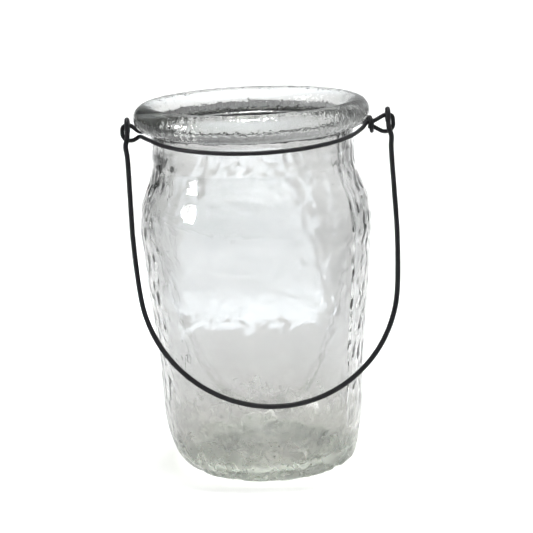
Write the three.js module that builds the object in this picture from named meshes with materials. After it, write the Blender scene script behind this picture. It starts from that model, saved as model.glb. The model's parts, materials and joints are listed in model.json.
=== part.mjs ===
// Mason jar lantern: a clear hammered-glass jar, a wire bent round its neck with a loop on each
// side, and a wire bail that hangs from the loops. Millimetres, +Z up, origin at the middle of
// the jar's base, the bail resting on the front (-Y) of the glass.
import * as THREE from 'three';

// Jar
const JAR_HEIGHT = 140;
const WALL = 3;
const BASE_THICKNESS = 3.6;
const BASE_RADIUS = 30.5; // flat underside
const HEEL_RADIUS = 36; // where the heel's curve meets the side
const WIDEST_RADIUS = 44;
const NECK_RADIUS = 38.05;
const MOUTH_RADIUS = 34.6; // inside the neck
const BEAD_RADIUS = 4.85; // round section of the rolled rim
const BEAD_CENTRE_RADIUS = 39.35;
const JAR_SEGMENTS = 56;

// Neck wire
const NECK_WIRE = 1.6; // wire diameter
const RING_RADIUS = 39.9; // centre line round the neck
const RING_SHIFT = 0.7; // the ring sits off the jar's axis, towards its closing turn
const RING_HEIGHT = 127.85;
const RING_TILT = 0.0313; // rise per millimetre towards the back
const RING_LIFT = 0.8; // rise towards the loops at both sides
const RING_LEAVES = THREE.MathUtils.degToRad(22); // angle from X where the ring runs out to a loop
const RING_SPANS = 22; // in each half of the ring
const LOOP_BASE_HEIGHT = 129; // between the two wires where they pinch together
const PINCH = 0.86; // half the distance between those two wires
const LOOP_BOTTOM = { left: 126.6, right: 126.1 };
const TURN_X = 44.3; // closing turn, where it comes over the loop's base
const TURN_PITCH = 0.9;
const TURN_HALF_WIDTH = 1.95;
const TURN_HALF_HEIGHT = 2.6;

// Bail
const BAIL_WIRE = 1.9; // wire diameter
const PIVOT_HEIGHT = 132.2;
const BAIL_SHIFT = 2.2; // middle of the bail from the jar's axis
const EYE_HALF_SPAN = 48.8;
const EYE_RADIUS = 2.2; // centre line of an eye
const ARM_HALF_SPAN = 49.3; // just below the eyes
const ARM_DROP = 46; // where the arms end, below the pivot
const CROWN_RADIUS = 47.6;
const CROWN_CENTRE = 59.5; // below the pivot, along the arms
const CROWN_SPANS = 18;
const BAIL_LEAN = 0.028; // sideways drift of the crown per millimetre of drop
const BAIL_FORWARD = THREE.MathUtils.degToRad(22.3); // rest angle from straight down

const WIRE_GAP = 0.15; // clearance between an eye and the loop's outer bend
const WIRE_SIDES = 4; // curve segments in a half section, so a wire has twice as many sides

const glass = new THREE.MeshStandardMaterial({
  name: 'glass',
  color: new THREE.Color(0.8, 0.86, 0.83),
  roughness: 0.05,
  metalness: 0,
  transparent: true,
  opacity: 0.35,
});
const coatedWire = new THREE.MeshStandardMaterial({
  name: 'coated_wire',
  color: new THREE.Color(0.02, 0.02, 0.022),
  roughness: 0.4,
  metalness: 0.1,
});

function namedMesh(name, geometry, material) {
  const mesh = new THREE.Mesh(geometry, material);
  mesh.name = name;
  return mesh;
}

// Points of an arc in the lathe's plane, angles in degrees from +X (outwards) towards +Y (up).
function arc(x, y, radius, from, to, steps) {
  const turn = THREE.MathUtils.degToRad(to - from);
  const path = new THREE.EllipseCurve(
    x, y, radius, radius,
    THREE.MathUtils.degToRad(from), THREE.MathUtils.degToRad(to), turn < 0,
  );
  return path.getPoints(steps);
}

function spline(stations, steps) {
  return new THREE.SplineCurve(stations.map(([r, z]) => new THREE.Vector2(r, z))).getPoints(steps);
}

// A hollow jar: out along the base, up the side, round the rolled rim and down inside.
function jarGeometry() {
  const beadHeight = JAR_HEIGHT - BEAD_RADIUS;
  const side = [
    [HEEL_RADIUS, 5],
    [38.7, 21],
    [39.4, 40],
    [41.9, 66],
    [43.4, 86],
    [WIDEST_RADIUS, 93],
    [43.3, 100.5],
    [41.6, 106.5],
    [39.4, 111.5],
    [NECK_RADIUS, 117.5],
  ];
  const inner = side.slice(1).reverse().map(([r, z]) => [r - WALL, z]);
  const outline = [
    new THREE.Vector2(0, 0),
    ...spline([[BASE_RADIUS, 0], [34.2, 1.4], [HEEL_RADIUS, 5]], 3),
    ...spline(side, 14).slice(1),
    new THREE.Vector2(NECK_RADIUS, 127.6),
    new THREE.Vector2(NECK_RADIUS + 0.15, 129.3),
    ...arc(BEAD_CENTRE_RADIUS, beadHeight, BEAD_RADIUS, -101, 190, 14),
    new THREE.Vector2(MOUTH_RADIUS, 130.5),
    ...spline(inner, 11),
    ...spline([[34.9, 13], [32.6, 7.4], [27.5, BASE_THICKNESS + 0.7]], 3),
    new THREE.Vector2(0, BASE_THICKNESS),
  ];
  return new THREE.LatheGeometry(outline, JAR_SEGMENTS).rotateX(Math.PI / 2);
}

// A round wire along hand-placed points. Each span between two points gets the same number of
// steps, so the bends, where the points are close, are finer than the long runs.
function wireGeometry(points, diameter, stepsPerSpan) {
  const path = new THREE.CatmullRomCurve3(points, false, 'centripetal');
  path.getUtoTmapping = (u) => u;
  const section = new THREE.Shape().absarc(0, 0, diameter / 2, 0, 2 * Math.PI);
  return new THREE.ExtrudeGeometry(section, {
    steps: stepsPerSpan * (points.length - 1),
    curveSegments: WIRE_SIDES,
    extrudePath: path,
  });
}

const v3 = (x, y, z) => new THREE.Vector3(x, y, z);

// Points on the ring round the neck, angles from +X towards the back.
function ringPoints(from, to) {
  return Array.from({ length: RING_SPANS + 1 }, (_, i) => {
    const angle = from + ((to - from) * i) / RING_SPANS;
    const y = RING_RADIUS * Math.sin(angle);
    const z = RING_HEIGHT + RING_TILT * y + RING_LIFT * Math.cos(angle) ** 2;
    return v3(RING_SHIFT + RING_RADIUS * Math.cos(angle), y, z);
  });
}

// The part of a side loop that the bail's eye hangs on and what closes it below, from the lower
// wire round the outer bend to the upper wire. side is +1 on the right and -1 on the left.
function loopPoints(side) {
  const eye = BAIL_SHIFT + side * EYE_HALF_SPAN;
  const outer = eye + side * (BAIL_WIRE / 2 + NECK_WIRE / 2 + WIRE_GAP);
  const bottom = side < 0 ? LOOP_BOTTOM.left : LOOP_BOTTOM.right;
  const at = (x, z) => v3(x, 0, z);
  return [
    at(eye - side * 1.9, bottom),
    at(eye - side * 0.2, bottom),
    at(eye + side * 1.1, bottom + 0.6),
    at(outer, bottom + 1.9),
    at(outer + side * 0.1, bottom + 3.2),
    at(outer, PIVOT_HEIGHT - 1.2),
    at(outer - side * 0.35, PIVOT_HEIGHT - 0.35),
    at(outer - side * 1.1, PIVOT_HEIGHT),
    at(eye - side * 1.2, PIVOT_HEIGHT),
  ];
}

// The wire's last end wraps once round the base of the right loop: over the top from behind,
// down the front, under and up the back.
function closingTurn() {
  const quarters = [0, 0.5, 1, 1.5, 2, 2.5, 3, 3.4];
  return quarters.map((quarter) => {
    const angle = (quarter * Math.PI) / 2;
    return v3(
      TURN_X + (TURN_PITCH * quarter) / 3,
      -TURN_HALF_WIDTH * Math.sin(angle),
      LOOP_BASE_HEIGHT + TURN_HALF_HEIGHT * Math.cos(angle),
    );
  });
}

// One wire: tail, right loop, front of the ring, left loop, back of the ring, closing turn.
function neckWirePoints() {
  const upper = LOOP_BASE_HEIGHT + PINCH;
  const lower = LOOP_BASE_HEIGHT - PINCH;
  return [
    v3(43.7, 0, lower),
    v3(45.4, 0, lower - 0.1),
    v3(47.1, 0, 127.1),
    ...loopPoints(1),
    v3(46.9, 0, 130.7),
    v3(45.3, 0, upper + 0.1),
    v3(44.1, -0.1, upper),
    v3(43, -0.8, 129.7),
    v3(42.2, -2.6, 129.2),
    v3(41.3, -5.2, 128.7),
    ...ringPoints(-RING_LEAVES, RING_LEAVES - Math.PI),
    v3(-40.2, -5.2, 128.1),
    v3(-41.3, -2.1, 128.1),
    v3(-42.3, -0.6, 127.9),
    v3(-43.3, -0.1, 127.3),
    ...loopPoints(-1),
    v3(-43.7, 0, 130.9),
    v3(-42.9, 0.1, 130.2),
    v3(-42, 0.8, 129.6),
    v3(-41.2, 2.2, 129.3),
    v3(-40.2, 5.2, 129),
    ...ringPoints(Math.PI - RING_LEAVES, RING_LEAVES),
    v3(41.5, 5.2, 129),
    v3(43.2, 2.1, 130.4),
    ...closingTurn(),
  ];
}

// A point of the bail: across from its middle, down from the pivot along the arms, and out of
// the bail's plane towards the back.
function bailPoint(across, down, back = 0) {
  const y = back * Math.cos(BAIL_FORWARD) - down * Math.sin(BAIL_FORWARD);
  const z = -back * Math.sin(BAIL_FORWARD) - down * Math.cos(BAIL_FORWARD);
  return v3(BAIL_SHIFT + across + BAIL_LEAN * Math.max(0, down - 5), y, PIVOT_HEIGHT + z);
}

// An eye and the arm below it, from the eye's cut end to the end of the straight arm.
function armPoints(side) {
  const eye = [70, 30, -10, -50, -90, -130, -170].map((degrees) => {
    const angle = THREE.MathUtils.degToRad(degrees);
    return bailPoint(side * EYE_HALF_SPAN, EYE_RADIUS * Math.sin(angle), EYE_RADIUS * Math.cos(angle));
  });
  return [
    ...eye,
    bailPoint(side * EYE_HALF_SPAN, 1.8, -1.95),
    bailPoint(side * EYE_HALF_SPAN, 3.4, -1),
    bailPoint(side * (EYE_HALF_SPAN + 0.2), 5, -0.15),
    bailPoint(side * (EYE_HALF_SPAN + 0.9), 8),
    bailPoint(side * ARM_HALF_SPAN, 12),
    bailPoint(side * (ARM_HALF_SPAN - 0.2), 28),
    bailPoint(side * (ARM_HALF_SPAN - 0.5), ARM_DROP),
  ];
}

function bailPoints() {
  const crown = Array.from({ length: CROWN_SPANS - 1 }, (_, i) => {
    const angle = ((i + 1) * Math.PI) / CROWN_SPANS;
    return bailPoint(-CROWN_RADIUS * Math.cos(angle), CROWN_CENTRE + CROWN_RADIUS * Math.sin(angle));
  });
  return [...armPoints(-1), ...crown, ...armPoints(1).reverse()];
}

const lantern = new THREE.Group();
lantern.add(namedMesh('glass_jar', jarGeometry(), glass));
lantern.add(namedMesh('neck_wire', wireGeometry(neckWirePoints(), NECK_WIRE, 2), coatedWire));
lantern.add(namedMesh('bail_handle', wireGeometry(bailPoints(), BAIL_WIRE, 2), coatedWire));

export default lantern;
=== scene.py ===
"""Mason jar lantern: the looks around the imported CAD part. Metres, +Z up, front is -Y."""

import json
import math

import bpy
import numpy as np
from mathutils import Matrix, Vector, noise


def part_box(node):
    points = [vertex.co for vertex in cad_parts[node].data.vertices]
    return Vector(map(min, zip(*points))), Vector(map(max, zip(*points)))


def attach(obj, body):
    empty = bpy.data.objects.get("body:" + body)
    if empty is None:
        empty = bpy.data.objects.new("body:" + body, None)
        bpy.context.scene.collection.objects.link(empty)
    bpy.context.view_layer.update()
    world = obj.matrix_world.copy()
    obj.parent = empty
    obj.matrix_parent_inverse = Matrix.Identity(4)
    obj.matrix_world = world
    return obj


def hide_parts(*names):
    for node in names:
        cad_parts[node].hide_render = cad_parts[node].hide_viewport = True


MM = 0.001

# ---------------------------------------------------------------- sizes, as in the CAD part
WALL = 3 * MM
BASE_THICKNESS = 3.6 * MM
BASE_RADIUS = 30.5 * MM
HEEL_RADIUS = 36 * MM
NECK_RADIUS = 38.05 * MM
MOUTH_RADIUS = 34.6 * MM
BEAD_RADIUS = 4.85 * MM
BEAD_CENTRE_RADIUS = 39.35 * MM
# Side of the jar, radius and height in millimetres, heel to neck
SIDE_STATIONS = [
    (36, 5), (38.7, 21), (39.4, 40), (41.9, 66), (43.4, 86),
    (44, 93), (43.3, 100.5), (41.6, 106.5), (39.4, 111.5), (38.05, 117.5),
]
PUSH_UP = 1.6 * MM  # hollow in the underside

NECK_WIRE = 1.6 * MM
RING_RADIUS = 39.9 * MM
RING_SHIFT = 0.7 * MM
RING_HEIGHT = 127.85 * MM
RING_TILT = 0.0313
RING_LIFT = 0.8 * MM
RING_LEAVES = math.radians(22)
RING_SPANS = 22
LOOP_BASE_HEIGHT = 129 * MM
PINCH = 0.86 * MM
LOOP_BOTTOM = {-1: 126.6 * MM, 1: 126.1 * MM}  # left and right
TURN_X = 44.3 * MM
TURN_PITCH = 0.9 * MM
TURN_HALF_WIDTH = 1.95 * MM
TURN_HALF_HEIGHT = 2.6 * MM

BAIL_WIRE = 1.9 * MM
BAIL_SHIFT = 2.2 * MM
EYE_HALF_SPAN = 48.8 * MM
EYE_RADIUS = 2.2 * MM
ARM_HALF_SPAN = 49.3 * MM
ARM_DROP = 46 * MM
CROWN_RADIUS = 47.6 * MM
CROWN_CENTRE = 59.5 * MM
CROWN_SPANS = 18
BAIL_LEAN = 0.028
BAIL_FORWARD = math.radians(22.3)
WIRE_GAP = 0.15 * MM

# ---------------------------------------------------------------- looks
JAR_COLUMNS = 310  # mesh columns round the jar
OUTSIDE_STEP = 0.9 * MM  # mesh row spacing along the outline
INSIDE_STEP = 1.5 * MM
SEAM_ANGLE = math.radians(-34)  # mould seam, from +X, negative towards the front
WIRE_SIDES = 20

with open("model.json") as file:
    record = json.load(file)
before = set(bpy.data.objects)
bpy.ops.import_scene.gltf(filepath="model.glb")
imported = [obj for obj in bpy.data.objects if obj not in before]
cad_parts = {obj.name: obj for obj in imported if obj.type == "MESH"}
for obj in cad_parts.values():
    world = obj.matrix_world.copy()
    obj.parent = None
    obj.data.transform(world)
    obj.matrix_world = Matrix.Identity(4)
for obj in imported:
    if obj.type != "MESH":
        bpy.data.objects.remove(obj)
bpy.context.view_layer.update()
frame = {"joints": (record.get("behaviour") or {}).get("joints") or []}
JAR_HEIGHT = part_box("glass_jar")[1].z
PIVOT = Vector(frame["joints"][0]["pos_m"])


# ---------------------------------------------------------------- helpers
def catmull_rom(stations, steps):
    """A smooth line through the stations, steps points to a span."""
    pts = [np.array(p, float) for p in stations]
    pts = [2 * pts[0] - pts[1], *pts, 2 * pts[-1] - pts[-2]]
    line = []
    for a, b, c, d in zip(pts, pts[1:], pts[2:], pts[3:]):
        for t in np.linspace(0, 1, steps, endpoint=False):
            line.append(
                0.5 * (2 * b + (c - a) * t + (2 * a - 5 * b + 4 * c - d) * t * t
                       + (3 * b - 3 * c + d - a) * t ** 3)
            )
    return np.array([*line, pts[-2]])


def arc(x, y, radius, start, end, steps):
    turn = np.radians(np.linspace(start, end, steps))
    return np.stack([x + radius * np.cos(turn), y + radius * np.sin(turn)], 1)


def even_steps(line, step):
    """The line cut into equal steps of about the given length."""
    along = np.concatenate([[0], np.cumsum(np.linalg.norm(np.diff(line, axis=0), axis=1))])
    places = np.linspace(0, along[-1], max(2, round(along[-1] / step)) + 1)
    return np.stack([np.interp(places, along, line[:, k]) for k in range(line.shape[1])], 1)


def mesh_piece(name, verts, faces, smooth=True):
    mesh = bpy.data.meshes.new(name)
    mesh.from_pydata([tuple(v) for v in verts], [], faces)
    mesh.update()
    mesh.polygons.foreach_set("use_smooth", [smooth] * len(mesh.polygons))
    piece = bpy.data.objects.new(name, mesh)
    bpy.context.scene.collection.objects.link(piece)
    return piece


# ---------------------------------------------------------------- jar
def jar_outline():
    """Radius, height and how strongly the surface is hammered, along the whole section."""
    bead_height = JAR_HEIGHT - BEAD_RADIUS
    side = [(r * MM, z * MM) for r, z in SIDE_STATIONS]
    inner = [(r - WALL, z) for r, z in side[1:]][::-1]
    stretches = [
        (catmull_rom([(0, PUSH_UP), (14 * MM, PUSH_UP * 0.8), (26 * MM, 0.15 * MM),
                      (29.5 * MM, 0)], 12), 0.25),
        (catmull_rom([(BASE_RADIUS, 0), (34.2 * MM, 1.4 * MM), (HEEL_RADIUS, 5 * MM)], 8), 1.5),
        (catmull_rom(side, 24), 1.0),
        (catmull_rom([(NECK_RADIUS, 120 * MM), (NECK_RADIUS, 127.6 * MM),
                      (NECK_RADIUS + 0.2 * MM, 129.4 * MM)], 10), 0.7),
        (arc(BEAD_CENTRE_RADIUS, bead_height, BEAD_RADIUS, -100, 190, 60), 0.12),
        (catmull_rom([(MOUTH_RADIUS, 130 * MM), (MOUTH_RADIUS, 123 * MM)], 10), 0.25),
        (catmull_rom(inner, 24), 0.25),
        (catmull_rom([(34.9 * MM, 13 * MM), (32.6 * MM, 7.4 * MM), (27.5 * MM, BASE_THICKNESS + 0.7 * MM),
                      (14 * MM, BASE_THICKNESS + 0.2 * MM), (0, BASE_THICKNESS)], 12), 0.8),
    ]
    line = np.concatenate([s for s, _ in stretches])
    strength = np.concatenate([np.full(len(s), k) for s, k in stretches])
    section = np.column_stack([line, strength * 0.2 * MM])
    top = int(np.argmax(section[:, 1]))
    outside = even_steps(section[:top + 1], OUTSIDE_STEP)
    inside = even_steps(section[top:], INSIDE_STEP)
    cut = np.concatenate([outside, inside[1:]])
    cut[:, 2] /= 0.2 * MM
    return cut


def smooth_step(value, low, high):
    t = min(1.0, max(0.0, (value - low) / (high - low)))
    return t * t * (3 - 2 * t)


def hammered(p, strength):
    """Inward depth of the pressed pattern: deep at both sides and the heel, faint at front and back."""
    q = p / MM
    warp = noise.noise_vector(q * 0.11) * 2.2
    nearest = noise.voronoi((q + warp) / 5.0)[0][0]
    bowl = min(1.0, (nearest / 0.62) ** 2) - 1
    swell = noise.noise(q * 0.2 + Vector((9, 4, 7))) - 0.5
    sideways = abs(q.x) / math.hypot(q.x, q.y)
    deep = max(smooth_step(sideways, 0.45, 0.85), smooth_step(-q.z, -34, -14))
    depth = (0.12 + 0.16 * deep) * bowl + (0.04 + 0.1 * deep) * swell
    depth += 0.06 * noise.noise(q * 0.5 + Vector((5, 2, 9)))
    pebble = 0.09 * smooth_step(q.z, 128, 132) * noise.noise(q * 0.55 + Vector((3, 8, 1)))
    return (strength * depth + pebble) * MM


def seam(angle, height):
    """Outward height of the two mould seams."""
    off = min(abs(math.remainder(angle - SEAM_ANGLE - side, 2 * math.pi)) for side in (0, math.pi))
    fade = min(1.0, max(0.0, (height - 4 * MM) / (6 * MM)))
    return 0.34 * MM * fade * math.exp(-((off * 40 / 0.8) ** 2))


def heel_shift(x, y, z):
    """The heel stands a little to the right of the axis and is rounder on its left."""
    fade = max(0.0, 1 - z / (14 * MM)) ** 2
    reach = math.hypot(x, y) / BASE_RADIUS
    shrink = 1 - 0.03 * fade
    return x * shrink + 2.0 * MM * fade * min(1, reach), y * shrink - 0.8 * MM * fade * min(1, reach), z


def make_jar():
    outline = jar_outline()
    tangent = np.gradient(outline[:, :2], axis=0)
    tangent /= np.linalg.norm(tangent, axis=1)[:, None]
    normal = np.stack([tangent[:, 1], -tangent[:, 0]], 1)
    verts, faces = [], []
    rows = len(outline)
    outside_rows = int(np.argmax(outline[:, 1]))
    for i in range(1, rows - 1):
        r, z, strength = outline[i]
        for j in range(JAR_COLUMNS):
            angle = 2 * math.pi * j / JAR_COLUMNS
            spot = Vector((r * math.cos(angle), r * math.sin(angle), z))
            push = hammered(spot, strength)
            if i < outside_rows:
                push += seam(angle, z) * min(1, strength + 0.3)
            rr, zz = r + normal[i, 0] * push, z + normal[i, 1] * push
            verts.append(heel_shift(rr * math.cos(angle), rr * math.sin(angle), max(0.0, zz)))
    bottom, floor = len(verts), len(verts) + 1
    verts += [(0, 0, outline[0, 1]), (0, 0, outline[-1, 1])]
    n = JAR_COLUMNS
    for j in range(n):
        k = (j + 1) % n
        for i in range(rows - 3):
            a = i * n
            faces.append((a + j, a + k, a + n + k, a + n + j))
        last = (rows - 3) * n
        faces.append((bottom, k, j))
        faces.append((last + j, last + k, floor))
    return mesh_piece("hammered_jar", verts, faces)


# ---------------------------------------------------------------- wires
def wire_line(points, steps=10):
    """A centripetal curve through the points."""
    p = [Vector(q) for q in points]
    p = [2 * p[0] - p[1], *p, 2 * p[-1] - p[-2]]
    line = []
    for a, b, c, d in zip(p, p[1:], p[2:], p[3:]):
        t1 = math.sqrt((b - a).length)
        t2 = t1 + math.sqrt((c - b).length)
        t3 = t2 + math.sqrt((d - c).length)
        for k in range(steps):
            t = t1 + (t2 - t1) * k / steps
            a1 = a * ((t1 - t) / t1) + b * (t / t1)
            a2 = b * ((t2 - t) / (t2 - t1)) + c * ((t - t1) / (t2 - t1))
            a3 = c * ((t3 - t) / (t3 - t2)) + d * ((t - t2) / (t3 - t2))
            b1 = a1 * ((t2 - t) / t2) + a2 * (t / t2)
            b2 = a2 * ((t3 - t) / (t3 - t1)) + a3 * ((t - t1) / (t3 - t1))
            line.append(b1 * ((t2 - t) / (t2 - t1)) + b2 * ((t - t1) / (t2 - t1)))
    return [*line, p[-2]]


def wire_mesh(name, points, diameter):
    """A round wire along the points, with softly rounded cut ends."""
    line = even_steps(np.array([tuple(p) for p in wire_line(points)]), 0.45 * MM)
    centre = [Vector(p) for p in line]
    radius = diameter / 2
    tangent = [(centre[min(i + 1, len(centre) - 1)] - centre[max(i - 1, 0)]).normalized()
               for i in range(len(centre))]
    side = tangent[0].orthogonal().normalized()
    rings = []
    for i, (c, t) in enumerate(zip(centre, tangent)):
        side = (side - t * side.dot(t)).normalized()
        rings.append((c, t, side.copy(), 1.0))
    ends = [(0.0, 0.99), (-0.12, 0.93), (-0.2, 0.78)]
    first, last = rings[0], rings[-1]
    head = [(first[0] + first[1] * radius * d, first[1], first[2], s) for d, s in ends[::-1]]
    tail = [(last[0] - last[1] * radius * d, last[1], last[2], s) for d, s in ends]
    rings = [*head, *rings[1:-1], *tail]
    verts, faces = [], []
    for i, (c, t, u, scale) in enumerate(rings):
        w = t.cross(u)
        uneven = 1 + 0.012 * noise.noise(c / MM * 0.7)
        for j in range(WIRE_SIDES):
            a = 2 * math.pi * j / WIRE_SIDES
            verts.append(c + (u * math.cos(a) + w * math.sin(a)) * radius * scale * uneven)
    n = WIRE_SIDES
    for i in range(len(rings) - 1):
        for j in range(n):
            k = (j + 1) % n
            faces.append((i * n + j, i * n + k, (i + 1) * n + k, (i + 1) * n + j))
    faces.append(tuple(range(n))[::-1])
    faces.append(tuple(range((len(rings) - 1) * n, len(rings) * n)))
    return mesh_piece(name, verts, faces)


def at(x, y, z):
    return Vector((x, y, z)) * MM


def ring_points(start, end):
    points = []
    for i in range(RING_SPANS + 1):
        angle = start + (end - start) * i / RING_SPANS
        y = RING_RADIUS * math.sin(angle)
        z = RING_HEIGHT + RING_TILT * y + RING_LIFT * math.cos(angle) ** 2
        points.append(Vector((RING_SHIFT + RING_RADIUS * math.cos(angle), y, z)))
    return points


def loop_points(side):
    eye = BAIL_SHIFT + side * EYE_HALF_SPAN
    outer = eye + side * (BAIL_WIRE / 2 + NECK_WIRE / 2 + WIRE_GAP)
    bottom = LOOP_BOTTOM[side]
    spots = [
        (eye - side * 1.9 * MM, bottom),
        (eye - side * 0.2 * MM, bottom),
        (eye + side * 1.1 * MM, bottom + 0.6 * MM),
        (outer, bottom + 1.9 * MM),
        (outer + side * 0.1 * MM, bottom + 3.2 * MM),
        (outer, PIVOT.z - 1.2 * MM),
        (outer - side * 0.35 * MM, PIVOT.z - 0.35 * MM),
        (outer - side * 1.1 * MM, PIVOT.z),
        (eye - side * 1.2 * MM, PIVOT.z),
    ]
    return [Vector((x, 0, z)) for x, z in spots]


def closing_turn():
    points = []
    for quarter in (0, 0.5, 1, 1.5, 2, 2.5, 3, 3.4):
        angle = quarter * math.pi / 2
        points.append(Vector((TURN_X + TURN_PITCH * quarter / 3,
                              -TURN_HALF_WIDTH * math.sin(angle),
                              LOOP_BASE_HEIGHT + TURN_HALF_HEIGHT * math.cos(angle))))
    return points


def neck_wire_points():
    upper = (LOOP_BASE_HEIGHT + PINCH) / MM
    lower = (LOOP_BASE_HEIGHT - PINCH) / MM
    return [
        at(43.7, 0, lower),
        at(45.4, 0, lower - 0.1),
        at(47.1, 0, 127.1),
        *loop_points(1),
        at(46.9, 0, 130.7),
        at(45.3, 0, upper + 0.1),
        at(44.1, -0.1, upper),
        at(43, -0.8, 129.7),
        at(42.2, -2.6, 129.2),
        at(41.3, -5.2, 128.7),
        *ring_points(-RING_LEAVES, RING_LEAVES - math.pi),
        at(-40.2, -5.2, 128.1),
        at(-41.3, -2.1, 128.1),
        at(-42.3, -0.6, 127.9),
        at(-43.3, -0.1, 127.3),
        *loop_points(-1),
        at(-43.7, 0, 130.9),
        at(-42.9, 0.1, 130.2),
        at(-42, 0.8, 129.6),
        at(-41.2, 2.2, 129.3),
        at(-40.2, 5.2, 129),
        *ring_points(math.pi - RING_LEAVES, RING_LEAVES),
        at(41.5, 5.2, 129),
        at(43.2, 2.1, 130.4),
        *closing_turn(),
    ]


def bail_point(across, down, back=0.0):
    """Across from the bail's middle, down along its arms and out of its plane, in metres."""
    y = back * math.cos(BAIL_FORWARD) - down * math.sin(BAIL_FORWARD)
    z = -back * math.sin(BAIL_FORWARD) - down * math.cos(BAIL_FORWARD)
    lean = BAIL_LEAN * max(0.0, down - 5 * MM)
    return Vector((BAIL_SHIFT + across + lean, y, PIVOT.z + z))


def arm_points(side):
    eye = []
    for degrees in (70, 30, -10, -50, -90, -130, -170):
        angle = math.radians(degrees)
        eye.append(bail_point(side * EYE_HALF_SPAN, EYE_RADIUS * math.sin(angle),
                              EYE_RADIUS * math.cos(angle)))

    return [
        *eye,
        bail_point(side * EYE_HALF_SPAN, 1.8 * MM, -1.95 * MM),
        bail_point(side * EYE_HALF_SPAN, 3.4 * MM, -1 * MM),
        bail_point(side * (EYE_HALF_SPAN + 0.2 * MM), 5 * MM, -0.15 * MM),
        bail_point(side * (EYE_HALF_SPAN + 0.9 * MM), 8 * MM),
        bail_point(side * ARM_HALF_SPAN, 12 * MM),
        bail_point(side * (ARM_HALF_SPAN - 0.2 * MM), 28 * MM),
        bail_point(side * (ARM_HALF_SPAN - 0.5 * MM), ARM_DROP),
    ]


def bail_points():
    crown = []
    for i in range(1, CROWN_SPANS):
        angle = i * math.pi / CROWN_SPANS
        crown.append(bail_point(-CROWN_RADIUS * math.cos(angle),
                                CROWN_CENTRE + CROWN_RADIUS * math.sin(angle)))
    return [*arm_points(-1), *crown, *arm_points(1)[::-1]]


# ---------------------------------------------------------------- materials
class Nodes:
    """Short calls for building one material's node tree."""

    def __init__(self, name):
        self.material = bpy.data.materials.new(name)
        self.material.use_nodes = True
        self.tree = self.material.node_tree
        self.shader = self.tree.nodes["Principled BSDF"]
        self.output = self.tree.nodes["Material Output"]
        self.coordinates = self.tree.nodes.new("ShaderNodeTexCoord").outputs["Object"]

    def add(self, kind, inputs=None, **settings):
        node = self.tree.nodes.new("ShaderNode" + kind)
        for key, value in settings.items():
            setattr(node, key, value)
        for key, value in (inputs or {}).items():
            if hasattr(value, "is_output"):
                self.tree.links.new(value, node.inputs[key])
            else:
                node.inputs[key].default_value = value
        return node

    def noise(self, scale, detail=2.0, roughness=0.5, distortion=0.0):
        return self.add("TexNoise", {"Vector": self.coordinates, "Scale": scale, "Detail": detail,
                                     "Roughness": roughness, "Distortion": distortion}).outputs["Fac"]

    def ramp(self, value, stops):
        node = self.add("ValToRGB", {"Fac": value})
        elements = node.color_ramp.elements
        while len(elements) < len(stops):
            elements.new(0.5)
        for element, (place, colour) in zip(elements, stops):
            element.position = place
            element.color = (*colour, 1) if isinstance(colour, tuple) else (colour,) * 3 + (1,)
        return node.outputs["Color"]

    def bump(self, height, distance, strength=1.0, under=None):
        inputs = {"Height": height, "Distance": distance, "Strength": strength}
        if under is not None:
            inputs["Normal"] = under
        return self.add("Bump", inputs).outputs["Normal"]

    def set(self, **values):
        for key, value in values.items():
            socket = self.shader.inputs[key.replace("_", " ")]
            if hasattr(value, "is_output"):
                self.tree.links.new(value, socket)
            else:
                socket.default_value = value


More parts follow.
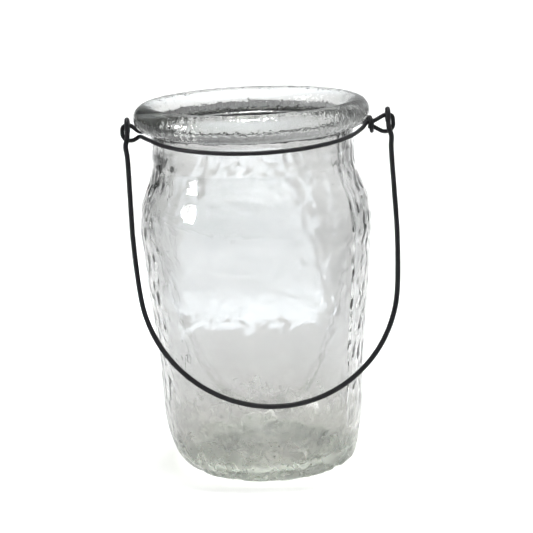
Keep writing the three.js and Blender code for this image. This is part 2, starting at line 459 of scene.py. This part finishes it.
def glass_material():
    m = Nodes("hammered_glass")
    fine = m.noise(420, 3, 0.55)
    height = m.add("SeparateXYZ", {"Vector": m.coordinates}).outputs["Z"]
    on_bead = m.add("MapRange", {"Value": height, "From Min": 0.127, "From Max": 0.132}).outputs["Result"]
    at_heel = m.add("MapRange", {"Value": height, "From Min": 0.034, "From Max": 0.01,
                                 "To Max": 0.6}).outputs["Result"]
    cloud = m.add("MapRange", {"Value": m.noise(170, 3, 0.6, 1.0), "From Min": 0.4, "From Max": 0.65,
                               "To Min": 0.1, "To Max": 0.4}).outputs["Result"]
    low = m.add("MapRange", {"Value": height, "From Min": 0.034, "From Max": 0.012}).outputs["Result"]
    clear = m.ramp(m.noise(60), [(0.3, (0.72, 0.721, 0.718)), (0.7, (0.75, 0.75, 0.745))])
    # painted shade: below 34 mm the glass colour fades to this darker tone, standing in for the floor's
    # shadow seen through the base
    painted_low_shade = m.ramp(m.noise(110, 2), [(0.35, (0.57, 0.566, 0.548)), (0.65, (0.67, 0.663, 0.643))])
    # painted shade: the bottom 3.5 mm of glass turns dark green, a dark line where the jar stands on the
    # floor
    contact_shade = m.add("MapRange", {"Value": height, "From Min": 0.0035, "From Max": 0.0003,
                              "To Max": 0.8}).outputs["Result"]
    above_edge = m.add("Mix", {0: low, 6: clear, 7: painted_low_shade}, data_type="RGBA").outputs[2]
    clouded = m.add("Math", {0: cloud, 1: low}, operation="MULTIPLY").outputs["Value"]
    gloss = m.add("MapRange", {"Value": fine, "From Min": 0.35, "From Max": 0.75,
                               "To Max": 0.02}).outputs["Result"]
    pebbled = m.bump(m.noise(430, 0, 0.5, 0.8), 0.0001, at_heel)
    # base colour: random glass tone, with painted shade low down and a painted dark contact line at the
    # bottom edge
    m.set(Base_Color=m.add("Mix", {0: contact_shade, 6: above_edge, 7: (0.3, 0.34, 0.3, 1)},
                           data_type="RGBA").outputs[2],
          Roughness=m.add("Math", {0: clouded, 1: gloss}).outputs["Value"],
          Normal=m.bump(m.noise(600, 1, 0.5, 0.5), 0.00028, on_bead, pebbled))
    m.set(Transmission_Weight=1.0, IOR=1.5)
    tint = m.add("VolumeAbsorption", {"Color": (0.25, 0.32, 0.22, 1), "Density": 12.0})
    m.tree.links.new(tint.outputs["Volume"], m.output.inputs["Volume"])
    lets_lamps_through = m.add("MixShader", {
        0: m.add("LightPath").outputs["Is Shadow Ray"],
        1: m.shader.outputs["BSDF"],
        2: m.add("BsdfTransparent", {"Color": (0.93, 0.93, 0.92, 1)}).outputs["BSDF"],
    })
    m.tree.links.new(lets_lamps_through.outputs["Shader"], m.output.inputs["Surface"])
    return m.material


def coated_wire_material(name):
    m = Nodes(name)
    grain = m.noise(1800, 3)
    m.set(Base_Color=m.ramp(m.noise(240, 4), [(0.3, (0.003, 0.003, 0.004)), (0.75, (0.009, 0.009, 0.011))]),
          Roughness=m.ramp(grain, [(0.3, 0.34), (0.7, 0.5)]),
          Normal=m.bump(grain, 0.00003, 0.7))
    m.set(IOR=1.4, Specular_IOR_Level=0.35)
    return m.material


def floor_material():
    m = Nodes("pale_floor")
    m.set(Base_Color=m.ramp(m.noise(3, 2), [(0.3, 0.86), (0.7, 0.88)]), Roughness=0.7)
    return m.material


# ---------------------------------------------------------------- stage
def add_area(name, place, target, size, power, colour=(1, 1, 1)):
    light = bpy.data.lights.new(name, "AREA")
    light.shape = "RECTANGLE"
    light.size, light.size_y = size
    light.energy = power
    light.color = colour
    lamp = bpy.data.objects.new(name, light)
    lamp.location = place
    lamp.rotation_euler = (Vector(target) - Vector(place)).to_track_quat("-Z", "Y").to_euler()
    bpy.context.scene.collection.objects.link(lamp)
    return lamp


def make_floor():
    half = 6.0
    floor = mesh_piece("floor", [(-half, -half, 0), (half, -half, 0), (half, half, 0),
                                 (-half, half, 0)], [(0, 1, 2, 3)], smooth=False)
    floor.data.materials.append(floor_material())


def make_lights():
    world = bpy.data.worlds.new("studio")
    world.use_nodes = True
    bpy.context.scene.world = world
    tree = world.node_tree
    direction = tree.nodes.new("ShaderNodeTexCoord").outputs["Generated"]
    split = tree.nodes.new("ShaderNodeSeparateXYZ")
    across = tree.nodes.new("ShaderNodeMapRange")
    tree.links.new(direction, split.inputs["Vector"])
    tree.links.new(split.outputs["X"], across.inputs["Value"])
    for key, value in (("From Min", -0.5), ("From Max", 0.7), ("To Min", 0.02), ("To Max", 0.95)):
        across.inputs[key].default_value = value
    background = tree.nodes["Background"]
    background.inputs["Color"].default_value = (0.98, 0.99, 1, 1)
    tree.links.new(across.outputs["Result"], background.inputs["Strength"])
    middle = (0, 0, 0.08)
    for name, near, far, width, spread in (("near", -0.8, 0.5, 0.5, 16), ("middle", 0.5, 1.5, 0.9, 10),
                                           ("far", 1.5, 4.5, 2.0, 10)):
        centre = (near + far) / 2
        strip = add_area(name + "_strip_light", (0, centre, 1), (0, centre, 0),
                         (width, far - near), 3.8 * width * (far - near))
        strip.data.spread = math.radians(spread)
    add_area("window_softbox", (-1.17, -0.36, 0.42), middle, (0.22, 0.3), 6)
    wash = add_area("background_light", (-0.0165, 0.53, 0.45), (-0.0165, 0.53, 0), (0.117, 0.7), 0.27,
                    (0.84, 0.92, 1))
    wash.data.spread = math.radians(1)


CAMERA_PITCH = math.radians(13.98)
CAMERA_ROLL = math.radians(2.4)
CAMERA_LENS = 104.8


def make_camera():
    data = bpy.data.cameras.new("camera")
    data.sensor_width = 36
    data.lens = CAMERA_LENS
    data.clip_start = 0.01
    camera = bpy.data.objects.new("camera", data)
    camera.matrix_world = (
        Matrix.Translation((3.3 * MM, -576.9 * MM, 219.3 * MM))
        @ Matrix.Rotation(math.pi / 2 - CAMERA_PITCH, 4, "X")
        @ Matrix.Rotation(-CAMERA_ROLL, 4, "Z")
    )
    bpy.context.scene.collection.objects.link(camera)
    bpy.context.scene.camera = camera


# ---------------------------------------------------------------- build
make_camera()

jar = make_jar()
jar.data.materials.append(glass_material())
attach(jar, "jar")
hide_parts("glass_jar")

neck_wire = wire_mesh("looped_neck_wire", neck_wire_points(), NECK_WIRE)
neck_wire.data.materials.append(coated_wire_material("neck_wire_coating"))
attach(neck_wire, "jar")
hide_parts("neck_wire")

bail = wire_mesh("wire_bail", bail_points(), BAIL_WIRE)
bail.data.materials.append(coated_wire_material("bail_wire_coating"))
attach(bail, "bail")
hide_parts("bail_handle")

make_floor()
make_lights()
bpy.context.scene.view_settings.view_transform = "Standard"
bpy.context.scene.cycles.glossy_bounces = 12
